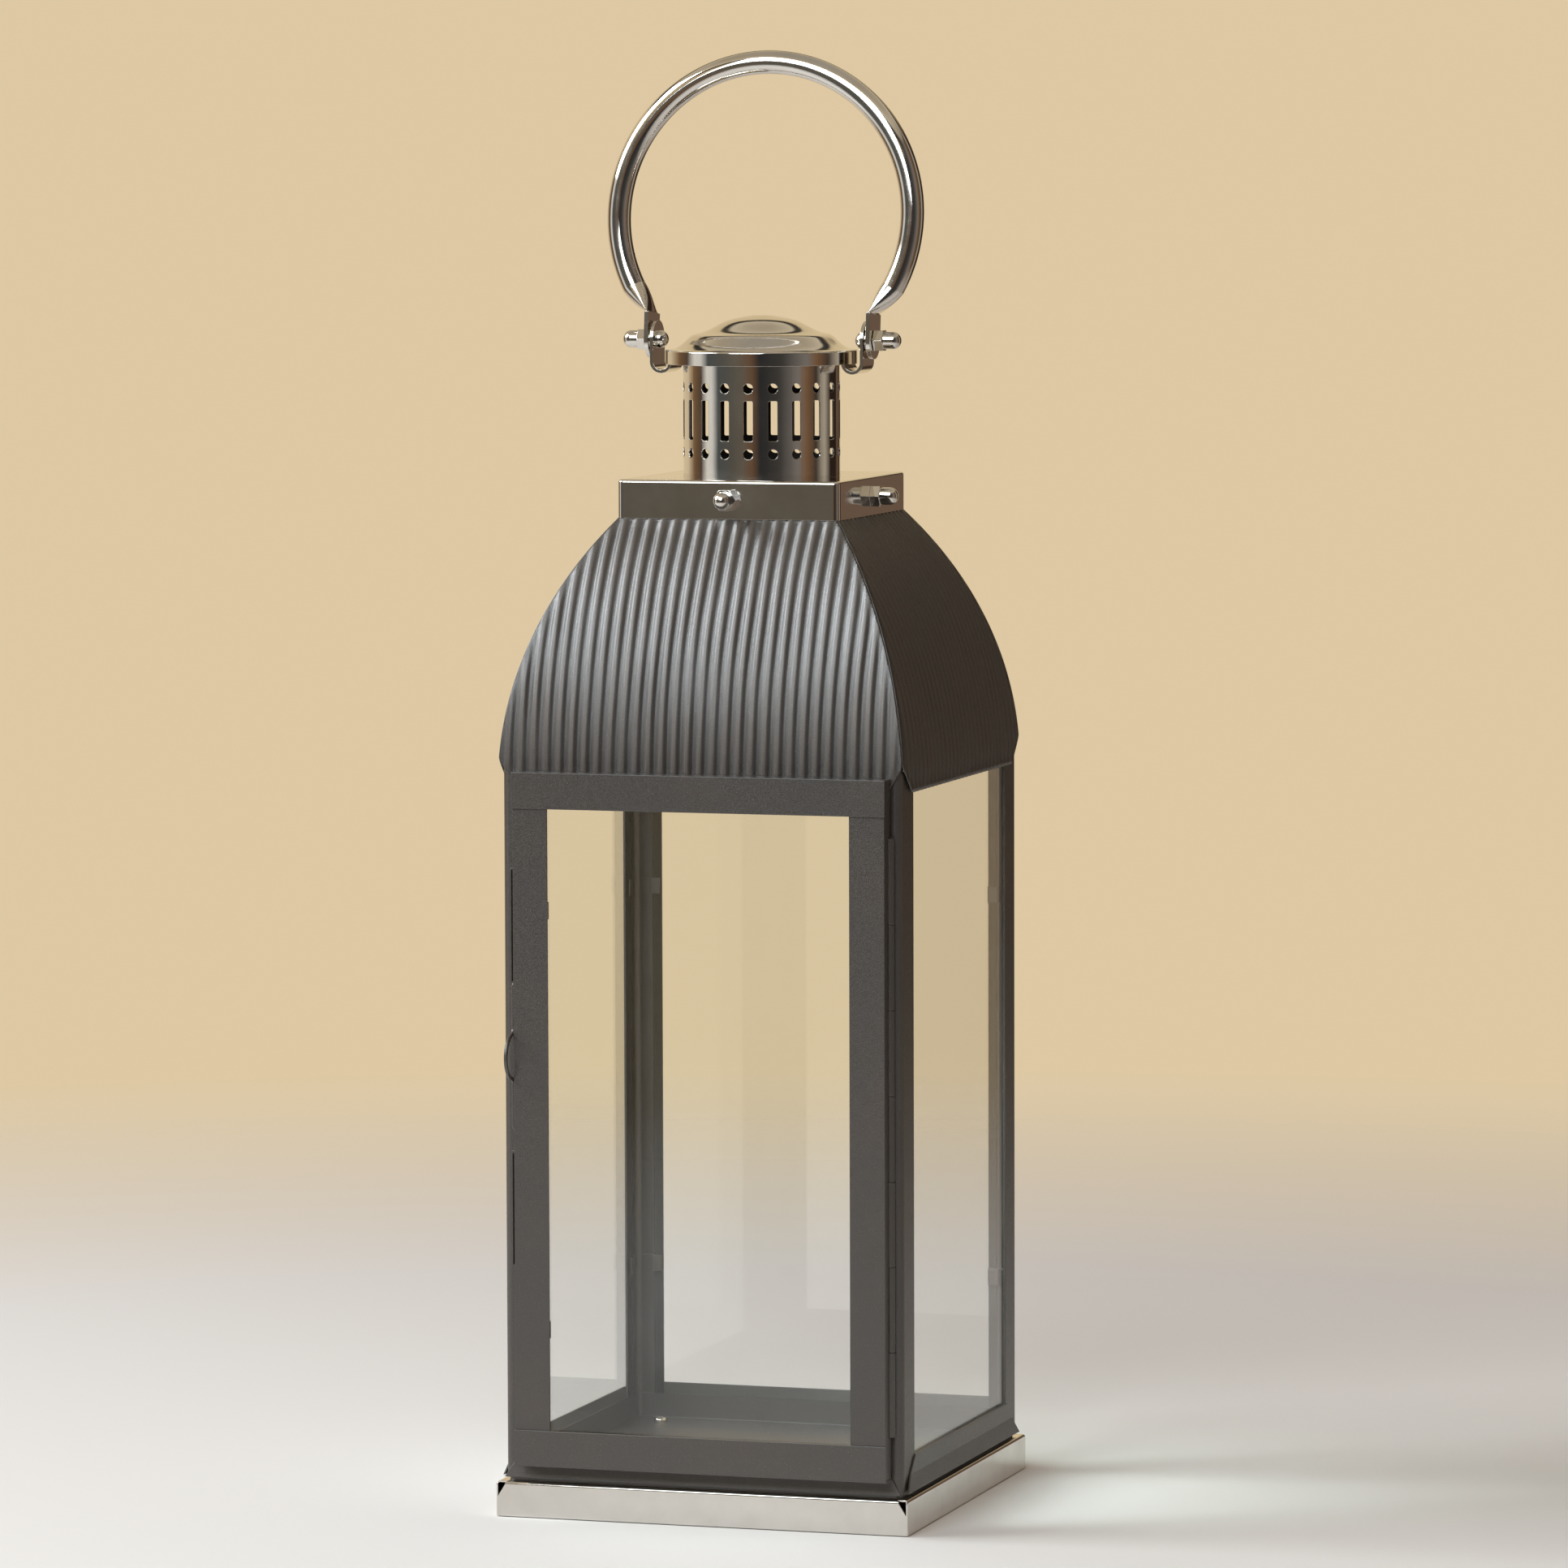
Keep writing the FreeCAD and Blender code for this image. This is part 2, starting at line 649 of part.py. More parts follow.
# Handle: a bent tube with flattened ends, drawn upright about the pivot and then leaned back
def handle_hoop():
    tube = hoop_tube_diameter / 2
    angle = math.radians(hoop_end_angle)
    end = V(hoop_radius * math.sin(angle), 0, hoop_rise - hoop_radius * math.cos(angle))
    along = V(math.cos(angle), 0, math.sin(angle))
    rings = [Part.Circle(end, along, radius).toShape() for radius in (tube, tube - hoop_tube_wall)]
    discs = [Part.Face(Part.Wire(ring)) for ring in rings]
    bars = [disc.revolve(V(0, 0, hoop_rise), -Y_AXIS, 360 - 2 * hoop_end_angle) for disc in discs]
    hoop = bars[0].cut(bars[1])
    neck_x = tab_middle + (end.x - tab_middle) * neck_share
    neck_z = tab_length + (end.z - tab_length) * neck_share
    sections = [arm_section(tab_middle, tab_length, tab_width, tab_sheet, tab_bend),
                arm_section(neck_x, neck_z, neck_width, neck_thickness, neck_bend),
                arm_section(end.x, end.z, hoop_tube_diameter, hoop_tube_diameter, 90 - hoop_end_angle)]
    neck = Part.makeLoft(sections, True, False)
    half = tab_width / 2
    tab = block(tab_inner, tab_inner + tab_sheet, -half, half, 0, tab_length)
    tab = tab.fuse(rod(half, V(tab_inner, 0, 0), X_AXIS, tab_sheet))
    place = V(tab_inner - overrun, 0, 0)
    pivot = rod(hole_radius(large_screw["shank"]), place, X_AXIS, tab_sheet + 2 * overrun)
    arm = neck.fuse(tab).cut(pivot)
    turn = math.radians(hoop_drain_angle)
    inward = V(-math.sin(turn), 0, math.cos(turn))
    middle = V(0, 0, hoop_rise) - inward * hoop_radius
    drain = rod(hoop_drain_diameter / 2, middle, inward, hoop_tube_diameter)
    hoop = hoop.cut(both_sides(drain)).fuse(arm).fuse(mirrored(arm, X_AXIS)).removeSplitter()
    hoop.rotate(ORIGIN, X_AXIS, -hoop_lean)
    return moved(hoop, V(0, 0, pivot_height))


# Planes of the door, as distances in front of the middle, and its edges
door_back = roof_outer + door_clearance
door_front = door_back + door_depth
stile_front = door_front - door_sheet
door_seat = stile_front - door_sheet
door_right = body_half - door_hinge_inset
door_left = door_right - door_width
door_bottom = skirt_bottom + door_bottom_rise
door_top = eave_height + door_top_lap
stile_right = door_right - stile_inset
stile_left = door_left + stile_inset
stile_bottom = door_bottom + door_sheet
stile_top = door_top - door_sheet
hinge_radius = hinge_barrel_diameter / 2
hinge_bore = hole_radius(hinge_pin_diameter)
hinge_depth = body_half + hinge_leaf_sheet + side_clearance + hinge_radius
hinge_low = door_bottom + hinge_margin
hinge_high = eave_height - hinge_margin
pull_x = stile_left - pull_end_bend
pull_height = door_top - pull_drop
catch_heights = {"upper": pull_height + catch_above_pull, "lower": pull_height - catch_below_pull}
pull_depth = stile_front - pull_setback


# Door rail: a front plate with a flange that goes back along the outer edge, drawn at the bottom
def door_rail():
    edge = door_bottom + door_frame_width
    plate = block(door_left, door_right, -door_front, -stile_front, door_bottom, edge)
    flange = block(door_left, door_right, -stile_front, -door_back, door_bottom, stile_bottom)
    return plate.fuse(flange).removeSplitter()


def door_rail_top():
    middle = (door_bottom + door_top) / 2
    return door_rail().mirror(V(0, 0, middle), Z_AXIS)


# Door stile: a front wall and an outer side wall, between the flanges of the rails
def door_stile(outer, inward):
    wall = outer + inward * door_sheet
    inner = outer + inward * door_frame_width
    front = block(min(outer, inner), max(outer, inner), -stile_front, -door_seat, stile_bottom, stile_top)
    side = block(min(outer, wall), max(outer, wall), -stile_front, -door_back, stile_bottom, stile_top)
    return front.fuse(side).removeSplitter()


def door_stile_left():
    stile = door_stile(stile_left, 1)
    radius = hole_radius(pull_wire_diameter)
    starts = [V(stile_left - overrun, -pull_depth, z) for z in pull_ends()]
    bores = [rod(radius, start, X_AXIS, door_sheet + 2 * overrun) for start in starts]
    return stile.cut(group(bores))


# Knuckles of the hinge, from the bottom up: the even ones are on the door and the odd ones on the leaf
def knuckles(first):
    pitch = (hinge_high - hinge_low) / hinge_knuckles
    length = pitch - side_clearance
    spans = [hinge_low + pitch * i + side_clearance / 2 for i in range(first, hinge_knuckles, 2)]
    return [(low, length) for low in spans]


def barrel(low, length):
    place = V(stile_right, -hinge_depth, low)
    ring = rod(hinge_radius, place, Z_AXIS, length)
    return ring.cut(rod(hinge_bore, place, Z_AXIS, length))


def door_stile_right():
    stile = door_stile(stile_right, -1)
    wall = stile_right - door_sheet
    back = hinge_depth + hinge_radius + side_clearance
    notch = block(wall - overrun, stile_right + overrun, -back, overrun - door_back,
                  hinge_low - side_clearance, hinge_high + side_clearance)
    stile = stile.cut(notch)
    for low, length in knuckles(0):
        web = block(wall, stile_right, -back, -hinge_depth - hinge_bore - hole_clearance, low, low + length)
        stile = stile.fuse(barrel(low, length)).fuse(web)
    return stile.removeSplitter()


# Hinge leaf: a strip on the front right post, with the other knuckles on short webs
def hinge_leaf():
    right = stile_right + hinge_leaf_edge
    front = body_half + hinge_leaf_sheet
    leaf = block(right - hinge_leaf_width, right, -front, -body_half, hinge_low, hinge_high)
    root = hinge_bore + hole_clearance - hinge_depth
    for low, length in knuckles(1):
        web = block(right - hinge_web, right, root, -body_half, low, low + length)
        leaf = leaf.fuse(barrel(low, length)).fuse(web)
    return leaf.removeSplitter()


def hinge_pin():
    foot = V(stile_right, -hinge_depth, hinge_low)
    return rod(hinge_pin_diameter / 2, foot, Z_AXIS, hinge_high - hinge_low)


# Door pull: a bent wire along the side of the left stile, with a bow in the middle that stands out in front
def pull_rise():
    turn = math.radians(pull_turn)
    rise = pull_fillet * math.sin(turn) + pull_bow_radius * math.sin(turn)
    return turn, rise


def pull_ends():
    reach = pull_rise()[1] + pull_leg
    return pull_height - reach, pull_height + reach


def half_pull():
    # The lower half of the wire, from its end in the stile to the middle of the bow
    turn, rise = pull_rise()
    low = pull_ends()[0]
    bend = pull_end_bend
    tilt = bend * (1 - math.sqrt(0.5))
    end = V(pull_x, -pull_depth, low)
    bow_start = V(pull_x, -pull_depth, pull_height - rise)

    def fillet(angle):
        return bow_start + V(0, -pull_fillet * (1 - math.cos(angle)), pull_fillet * math.sin(angle))

    step = pull_fillet * (1 - math.cos(turn)) - pull_bow_radius * math.cos(turn)
    centre = V(pull_x, -pull_depth - step, pull_height)

    def bow(angle):
        return centre + V(0, -pull_bow_radius * math.cos(angle), -pull_bow_radius * math.sin(angle))

    tip = end + V(bend + pull_end_reach, 0, 0)
    edges = [
        Part.makeLine(tip, end + V(bend, 0, 0)),
        Part.Arc(end + V(bend, 0, 0), end + V(tilt, 0, tilt), end + V(0, 0, bend)).toShape(),
        Part.makeLine(end + V(0, 0, bend), bow_start),
        Part.Arc(bow_start, fillet(turn / 2), fillet(turn)).toShape(),
        Part.Arc(bow(turn), bow(turn / 2), bow(0)).toShape(),
    ]
    ring = Part.Wire(Part.Circle(tip, X_AXIS, pull_wire_diameter / 2).toShape())
    return Part.Wire(edges).makePipeShell([ring], True, False)


def door_pull():
    half = half_pull()
    return half.fuse(half.mirror(V(0, 0, pull_height), Z_AXIS)).removeSplitter()


# Catch strip: a leaf spring on the front left post that bears on the side of the closed door
def catch_strip(height):
    near = stile_left - side_clearance - fit_clearance
    far = near - catch_sheet
    foot = far - catch_foot
    front = body_half + catch_reach
    tip = front + catch_lip
    low = height - catch_length / 2
    outline = [V(foot, -body_half, low), V(near, -body_half, low), V(near, -front, low),
               V(near - catch_lip_flare, -tip, low), V(far - catch_lip_flare, -tip, low), V(far, -front, low),
               V(far, -body_half - catch_sheet, low), V(foot, -body_half - catch_sheet, low)]
    return prism(outline, Z_AXIS * catch_length)


# Fixed pane, drawn at the front against the inner faces of the posts
def fixed_glass(half):
    return block(-half, half, -post_inner, glass_sheet - post_inner, rim_top, eave_height + glass_top_lap)


# Glazing clip: a Z-shaped strip over the edge of a pane. The pane is on the -X side of the place.
def glazing_clip(place):
    over = glass_sheet + clip_sheet
    step = side_clearance + clip_sheet
    end = post_front_flange - post_bend - glass_front_lap - fit_clearance
    outline = [V(end, 0, 0), V(side_clearance, 0, 0), V(side_clearance, glass_sheet, 0),
               V(-clip_reach, glass_sheet, 0), V(-clip_reach, over, 0), V(step, over, 0),
               V(step, clip_sheet, 0), V(end, clip_sheet, 0)]
    return prism([place + point for point in outline], Z_AXIS * clip_width)


def clip_levels(low, high):
    return low + clip_inset, high - clip_inset - clip_width


def fixed_clips(half):
    levels = clip_levels(rim_top, eave_height)
    return group([both_sides(glazing_clip(V(half, -post_inner, level))) for level in levels])


# Door glass: behind the front walls of the stiles, standing on the flange of the bottom rail
def door_glass():
    left = stile_left + door_frame_width - glass_front_lap
    right = stile_right - door_frame_width + glass_front_lap
    return block(left, right, -door_seat, glass_sheet - door_seat, stile_bottom, stile_top - fit_clearance)


def door_clips():
    middle = (stile_left + stile_right) / 2
    edge = (stile_right - stile_left) / 2 - door_frame_width + glass_front_lap
    levels = clip_levels(door_bottom, door_top)
    clips = [both_sides(glazing_clip(V(edge, -door_seat, level))) for level in levels]
    return moved(group(clips), V(middle, 0, 0))


save("base_tray", base_tray())
save("floor_pan", floor_pan())
floor_screws, floor_nuts = floor_fasteners()
save("floor_screws", floor_screws)
save("floor_nuts", floor_nuts)

post_names = ["post_front_right", "post_rear_right", "post_front_left", "post_rear_left"]
for name, post in zip(post_names, four_corners(corner_post())):
    save(name, post)

side_glass_half = body_half - post_side_flange + glass_side_lap
rear_glass_half = body_half - post_front_flange + glass_front_lap
for side, angle in {"front": 0, "right": 90, "rear": 180, "left": 270}.items():
    across = side in ("front", "rear")
    rail_sizes = (front_rail_end_gap, front_rail_slant) if across else (side_rail_end_gap, side_rail_slant)
    save("bottom_rail_" + side, turned(bottom_rail(*rail_sizes), angle))
    save("roof_panel_" + side, turned(roof_panel(front_corner_cut if across else side_corner_cut), angle))
    if side != "front":
        glass_half = rear_glass_half if across else side_glass_half
        save("glass_" + side, turned(fixed_glass(glass_half), angle))
        save("glass_clips_" + side, turned(fixed_clips(glass_half), angle))

save("collar", collar())
collar_screws, collar_acorn_nuts = collar_fasteners()
save("collar_screws", collar_screws)
save("collar_acorn_nuts", collar_acorn_nuts)
save("chimney_tube", chimney_tube())
save("chimney_lid", chimney_lid())

save("handle_bracket_right", handle_bracket())
save("handle_bracket_left", mirrored(handle_bracket(), X_AXIS))
save("bracket_rivets", both_sides(bracket_rivet()))
pivot_screws, pivot_washers, pivot_acorn_nuts = pivot_hardware()
save("pivot_screws", pivot_screws)
save("pivot_washers", pivot_washers)
save("pivot_acorn_nuts", pivot_acorn_nuts)
save("handle_hoop", handle_hoop())

save("door_rail_bottom", door_rail())
save("door_rail_top", door_rail_top())
save("door_stile_left", door_stile_left())
save("door_stile_right", door_stile_right())
save("door_glass", door_glass())
save("door_glass_clips", door_clips())
save("door_pull", door_pull())
save("hinge_leaf", hinge_leaf())
save("hinge_pin", hinge_pin())
for name, height in catch_heights.items():
    save("catch_strip_" + name, catch_strip(height))
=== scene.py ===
import json
import math

import bmesh
import bpy
from mathutils import Matrix, Vector, noise


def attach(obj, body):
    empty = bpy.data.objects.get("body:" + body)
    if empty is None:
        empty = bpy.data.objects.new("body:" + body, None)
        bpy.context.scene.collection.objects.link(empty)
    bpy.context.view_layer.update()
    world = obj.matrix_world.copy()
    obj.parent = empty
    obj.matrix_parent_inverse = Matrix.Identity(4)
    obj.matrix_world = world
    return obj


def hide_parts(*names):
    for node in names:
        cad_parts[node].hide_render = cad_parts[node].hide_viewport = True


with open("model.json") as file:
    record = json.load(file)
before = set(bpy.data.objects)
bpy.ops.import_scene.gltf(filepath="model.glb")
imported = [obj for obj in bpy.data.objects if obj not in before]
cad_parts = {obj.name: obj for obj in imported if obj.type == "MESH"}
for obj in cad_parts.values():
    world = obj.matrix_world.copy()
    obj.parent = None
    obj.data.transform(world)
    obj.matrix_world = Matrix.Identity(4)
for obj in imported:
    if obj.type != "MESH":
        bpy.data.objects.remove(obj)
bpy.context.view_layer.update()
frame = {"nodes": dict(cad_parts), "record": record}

scene = bpy.context.scene
scene.view_settings.view_transform = "Standard"

MM = 0.001

# Sizes of the roof in millimetres, as in the solids, apart from the cuts' height, which is 3.2 mm less here
BODY_HALF = 96.5
EAVE = 341.5
RISE = 122.3
COLLAR_INNER = 53.2
POST_LAP = 10.0
RIB_PITCH = 6.2
RIB_DEPTH = 1.4
ROOF_SHEET = 0.6
HIP_GAP = 0.3
FIT = 0.1
CUT_HEIGHT = 13.0
FLANGE_HALF = 50.9
FLANGE_ROWS = (0.6, 4.0, 8.0, 12.0, 16.0)

# By side: width of the corner cuts at the eave in millimetres, share of the ribs' height left at the hips,
# and turn in degrees
CUTS = {"front": 7.8, "rear": 7.8, "left": 14.2, "right": 14.2}
RIMS = {"front": 0.45, "rear": 0.45, "left": 0.0, "right": 0.0}
TURNS = {"front": 0, "right": 90, "rear": 180, "left": 270}

# Fineness of the roof skins: columns to a rib, rows up the arc, and metres within which points are one
RIB_COLUMNS = 12
ARC_ROWS = 72
SAME_POINT = 0.00002
SAME_EDGE = 0.00001

# Slow waves along and up a panel, in millimetres, that bend the ribs and change their depth
BEND_WAVE = (30.0, 45.0)
DEPTH_WAVE = (14.0, 30.0)
DEPTH_SEED = 7.0
SIDE_SEED = 3.0
BEND = 0.5
DEPTH = 0.88
DEPTH_CHANGE = 0.22

# Where the ribs are flatter: least share of their height, which at the hips goes by side, and the millimetres
# from an edge between which it grows
EAVE_FADE = (0.35, 0.0, 9.0)
COLLAR_FADE = (0.6, 0.0, 8.0)
HIP_FADE = (0.5, 5.0)

# Colours of the powder coat
COAT_CLOUDS = [(0.30, (0.023, 0.018, 0.015)), (0.52, (0.028, 0.020, 0.015)), (0.70, (0.037, 0.023, 0.016))]
# Painted highlight on the roof's rib crests, where light catches them
PAINTED_CREST_HIGHLIGHT = (0.085, 0.062, 0.046)
# Painted shade in the roof's rib valleys
PAINTED_VALLEY_SHADE = (0.014, 0.011, 0.009)
PALE_GRAIN = (0.16, 0.15, 0.14)
DULL_PIT = (0.014, 0.012, 0.011)
# Painted highlight along the edges, where bends catch light
PAINTED_EDGE_HIGHLIGHT = (0.15, 0.14, 0.13)

# Colours of metal and glass
NICKEL = [(0.3, (0.66, 0.63, 0.59)), (0.7, (0.74, 0.71, 0.67))]
# Colour of a flue's inside, which is darker, duller and less metallic than the rest
DARK_FLUE_INSIDE = (0.022, 0.019, 0.016)
GLASS = [(0.3, (0.975, 0.988, 0.982)), (0.7, (0.985, 0.994, 0.99))]
GLASS_EDGE = (0.42, 0.60, 0.52)
GLASS_SHADOW = (0.93, 0.96, 0.945)

# Words in the names of bright pieces that are round or small, and so have no straight polishing lines
ROUND_WORDS = ("handle", "pivot", "chimney_lid", "bracket", "nuts", "screws")

# Floor, in metres: pale round the lantern, and clear from where the backdrop takes over
FLOOR_COLOUR = (0.86, 0.84, 0.81)
FLOOR_FADE = (0.75, 1.7)
FLOOR_RADIUS = 1.8
FLOOR_SIDES = 96
FLOOR_DROP = 0.0004
WHITE = (1.0, 1.0, 1.0)

# Plain backdrop, and the warm fill that reaches dull surfaces
BACKDROP = (0.73, 0.58, 0.37)
FILL = (1.0, 0.67, 0.44)
FILL_STRENGTH = 0.22

# What polished metal mirrors round the horizon, from the backdrop past the left, the front and the right
# to the backdrop again: a pale window on the left, a dim room in front and warm wood on the right
HORIZON = [(0.00, (0.72, 0.57, 0.34)), (0.16, (0.74, 0.60, 0.40)), (0.225, (0.20, 0.11, 0.05)),
           (0.27, (0.10, 0.07, 0.05)), (0.305, (0.85, 0.82, 0.75)), (0.33, (0.80, 0.78, 0.74)),
           (0.36, (0.09, 0.10, 0.10)), (0.42, (0.11, 0.105, 0.09)), (0.47, (0.15, 0.125, 0.095)),
           (0.51, (0.16, 0.09, 0.05)), (0.54, (0.03, 0.03, 0.03)), (0.62, (0.06, 0.055, 0.05)),
           (0.70, (0.22, 0.20, 0.18)), (0.74, (0.22, 0.12, 0.06)), (0.79, (0.06, 0.045, 0.035)),
           (0.84, (0.48, 0.42, 0.33)), (0.88, (0.03, 0.018, 0.012)), (0.935, (0.03, 0.018, 0.012)),
           (0.945, (0.17, 0.11, 0.075)), (0.96, (0.17, 0.11, 0.075)), (0.97, (0.03, 0.018, 0.012)),
           (0.985, (0.06, 0.04, 0.025)), (1.00, (0.72, 0.57, 0.34))]

# The room above the horizon, by height: wall, a dark rail, bright upper wall and ceiling. It takes over from
# the horizon between two heights, and higher up towards the right.
OVERHEAD = [(0.40, (0.74, 0.59, 0.36)), (0.50, (0.70, 0.56, 0.34)), (0.54, (0.04, 0.035, 0.03)),
            (0.62, (0.04, 0.035, 0.03)), (0.66, (0.66, 0.57, 0.42)), (0.85, (0.46, 0.39, 0.28)),
            (1.00, (0.40, 0.36, 0.30))]
OVERHEAD_START = (0.2, 0.45)
RIGHT_LEAN = -0.5

# Camera at the photograph's place and angle, in metres and degrees, with its lens in pixels of the photograph
CAMERA_PLACE = (1.1781, -3.7333, 0.6665)
CAMERA_YAW = 17.37
CAMERA_PITCH = 4.82
CAMERA_ROLL = -0.175
LENS_PIXELS = 10282.3
PHOTO_PIXELS = 1932
SENSOR = 36.0
FAR_CLIP = 100.0

# Places of a Mix node's colour sockets
MIX_FIRST, MIX_SECOND, MIX_RESULT = 6, 7, 2


# Shader helpers. What is fed to a socket is another socket, a number, a vector or a colour.
def feed(tree, target, value):
    if isinstance(value, bpy.types.NodeSocket):
        tree.links.new(value, target)
    elif target.type == "RGBA":
        target.default_value = (*value, 1.0)
    else:
        target.default_value = value


def add(tree, kind, **settings):
    node = tree.nodes.new(kind)
    for key, value in settings.items():
        setattr(node, key, value)
    return node


def put(tree, node, **values):
    for key, value in values.items():
        feed(tree, node.inputs[key.replace("_", " ")], value)


def put_in_order(tree, node, values):
    for target, value in zip(node.inputs, values):
        feed(tree, target, value)


def new_material(name):
    material = bpy.data.materials.new(name)
    material.use_nodes = True
    tree = material.node_tree
    tree.nodes.clear()
    return material, tree


def coordinate(tree, kind):
    return add(tree, "ShaderNodeTexCoord").outputs[kind]


def geometry(tree, kind):
    return add(tree, "ShaderNodeNewGeometry").outputs[kind]


def noise_tex(tree, place, scale, detail=2.0, rough=0.5):
    node = add(tree, "ShaderNodeTexNoise")
    put(tree, node, Vector=place, Scale=scale, Detail=detail, Roughness=rough)
    return node.outputs["Fac"]


def remap(tree, source, span, onto=(0.0, 1.0)):
    node = add(tree, "ShaderNodeMapRange", clamp=True)
    put(tree, node, Value=source, From_Min=span[0], From_Max=span[1], To_Min=onto[0], To_Max=onto[1])
    return node.outputs["Result"]


# A share from 0 to 1 turned into a value between two others
def between(tree, share, first, second):
    return remap(tree, share, (0.0, 1.0), (first, second))


def ramp(tree, source, stops):
    node = add(tree, "ShaderNodeValToRGB")
    points = node.color_ramp.elements
    while len(points) < len(stops):
        points.new(0.5)
    for point, (place, colour) in zip(points, stops):
        point.position = place
        point.color = (*colour, 1.0)
    put(tree, node, Fac=source)
    return node.outputs["Color"]


def number(tree, operation, *values):
    node = add(tree, "ShaderNodeMath", operation=operation)
    put_in_order(tree, node, values)
    return node.outputs["Value"]


def vector(tree, operation, *values):
    node = add(tree, "ShaderNodeVectorMath", operation=operation)
    put_in_order(tree, node, values)
    return node.outputs["Value" if operation in ("DOT_PRODUCT", "LENGTH") else "Vector"]


def mix_colour(tree, factor, first, second):
    node = add(tree, "ShaderNodeMix", data_type="RGBA")
    put(tree, node, Factor=factor)
    feed(tree, node.inputs[MIX_FIRST], first)
    feed(tree, node.inputs[MIX_SECOND], second)
    return node.outputs[MIX_RESULT]


def mix_shader(tree, factor, first, second):
    node = add(tree, "ShaderNodeMixShader")
    put_in_order(tree, node, (factor, first, second))
    return node.outputs["Shader"]


def bump(tree, height, strength, distance, normal):
    node = add(tree, "ShaderNodeBump")
    put(tree, node, Height=height, Strength=strength, Distance=distance, Normal=normal)
    return node.outputs["Normal"]


def principled(tree, **values):
    node = add(tree, "ShaderNodeBsdfPrincipled")
    put(tree, node, **values)
    return node.outputs["BSDF"]


def one_colour(tree, kind, colour):
    node = add(tree, kind)
    put(tree, node, Color=colour)
    return node.outputs["BSDF"]


def background(tree, colour, strength=1.0):
    node = add(tree, "ShaderNodeBackground")
    put(tree, node, Color=colour, Strength=strength)
    return node.outputs["Background"]


def output(tree, shader, kind="ShaderNodeOutputMaterial"):
    put(tree, add(tree, kind), Surface=shader)


def soft_edges(tree, radius):
    node = add(tree, "ShaderNodeBevel", samples=6)
    put(tree, node, Radius=radius)
    return node.outputs["Normal"]


# How far a surface turns within its softened edges: 0 on a flat, more at an edge
def edge_share(tree, eased):
    return number(tree, "SUBTRACT", 1.0, vector(tree, "DOT_PRODUCT", eased, geometry(tree, "Normal")))


# Share of a surface that faces the lantern's axis: 1 on the inside of a tube
def inward(tree, place):
    spoke = vector(tree, "NORMALIZE", vector(tree, "MULTIPLY", place, (1.0, 1.0, 0.0)))
    along = vector(tree, "DOT_PRODUCT", spoke, coordinate(tree, "Normal"))
    return remap(tree, along, (-0.7, -0.3), (1.0, 0.0))


# Black powder coat: charcoal with brown clouds and fine pale grains, glossy between dull pits, with painted
# highlights along the edges and, on the roof, painted highlights on the rib crests over painted shade in the
# valleys
def powder_coat():
    material, tree = new_material("black_powder_coat")
    place = coordinate(tree, "Object")
    crest = add(tree, "ShaderNodeAttribute", attribute_name="crest").outputs["Fac"]
    cloud = noise_tex(tree, place, scale=22.0, detail=4.0, rough=0.6)
    grain = noise_tex(tree, place, scale=1900.0, detail=3.0, rough=0.65)
    skin = noise_tex(tree, place, scale=2100.0, detail=3.0, rough=0.65)
    pit = remap(tree, skin, (0.34, 0.60), (1.0, 0.0))
    eased = soft_edges(tree, 0.0005)
    # Over the clouds: painted highlight on the rib crests, painted shade in the rib valleys, pale grains,
    # dull pits and a painted highlight along the edges
    layers = [(remap(tree, crest, (0.1, 0.9), (0.0, 0.6)), PAINTED_CREST_HIGHLIGHT),
              (remap(tree, crest, (-0.8, 0.0), (0.8, 0.0)), PAINTED_VALLEY_SHADE),
              (remap(tree, grain, (0.60, 0.76)), PALE_GRAIN),
              (between(tree, pit, 0.0, 0.4), DULL_PIT),
              (remap(tree, edge_share(tree, eased), (0.04, 0.30), (0.0, 0.30)), PAINTED_EDGE_HIGHLIGHT)]
    colour = ramp(tree, cloud, COAT_CLOUDS)
    for share, layer in layers:
        colour = mix_colour(tree, share, colour, layer)
    rough = between(tree, pit, 0.29, 0.50)
    normal = bump(tree, skin, strength=0.7, distance=0.00014, normal=eased)
    output(tree, principled(tree, Base_Color=colour, Roughness=rough, IOR=1.95, Normal=normal))
    return material


# Polished nickel: warm grey mirror with faint smudges, fine polishing lines, a slow ripple and, in a flue,
# a dark, dull inside. The value called lines says how closely the polishing lines lie along each axis.
def polished_nickel(name, lines, polish, ripple, darkened_inside=False):
    material, tree = new_material(name)
    place = coordinate(tree, "Object")
    smudge = noise_tex(tree, place, scale=60.0, detail=5.0, rough=0.6)
    colour = ramp(tree, smudge, NICKEL)
    rough = remap(tree, smudge, (0.35, 0.75), (0.045, 0.15))
    metallic = 1.0
    if darkened_inside:
        inside = inward(tree, place)
        colour = mix_colour(tree, inside, colour, DARK_FLUE_INSIDE)
        rough = number(tree, "MAXIMUM", rough, between(tree, inside, 0.0, 0.7))
        metallic = between(tree, inside, 1.0, 0.1)
    stretch = add(tree, "ShaderNodeMapping")
    put(tree, stretch, Vector=place, Scale=lines)
    scratch = noise_tex(tree, stretch.outputs["Vector"], scale=1.0)
    wave = noise_tex(tree, place, scale=45.0, detail=1.0, rough=0.4)
    normal = bump(tree, scratch, polish, distance=0.00005, normal=soft_edges(tree, 0.0003))
    normal = bump(tree, wave, ripple, distance=0.0012, normal=normal)
    output(tree, principled(tree, Base_Color=colour, Metallic=metallic, Roughness=rough, Normal=normal))
    return material


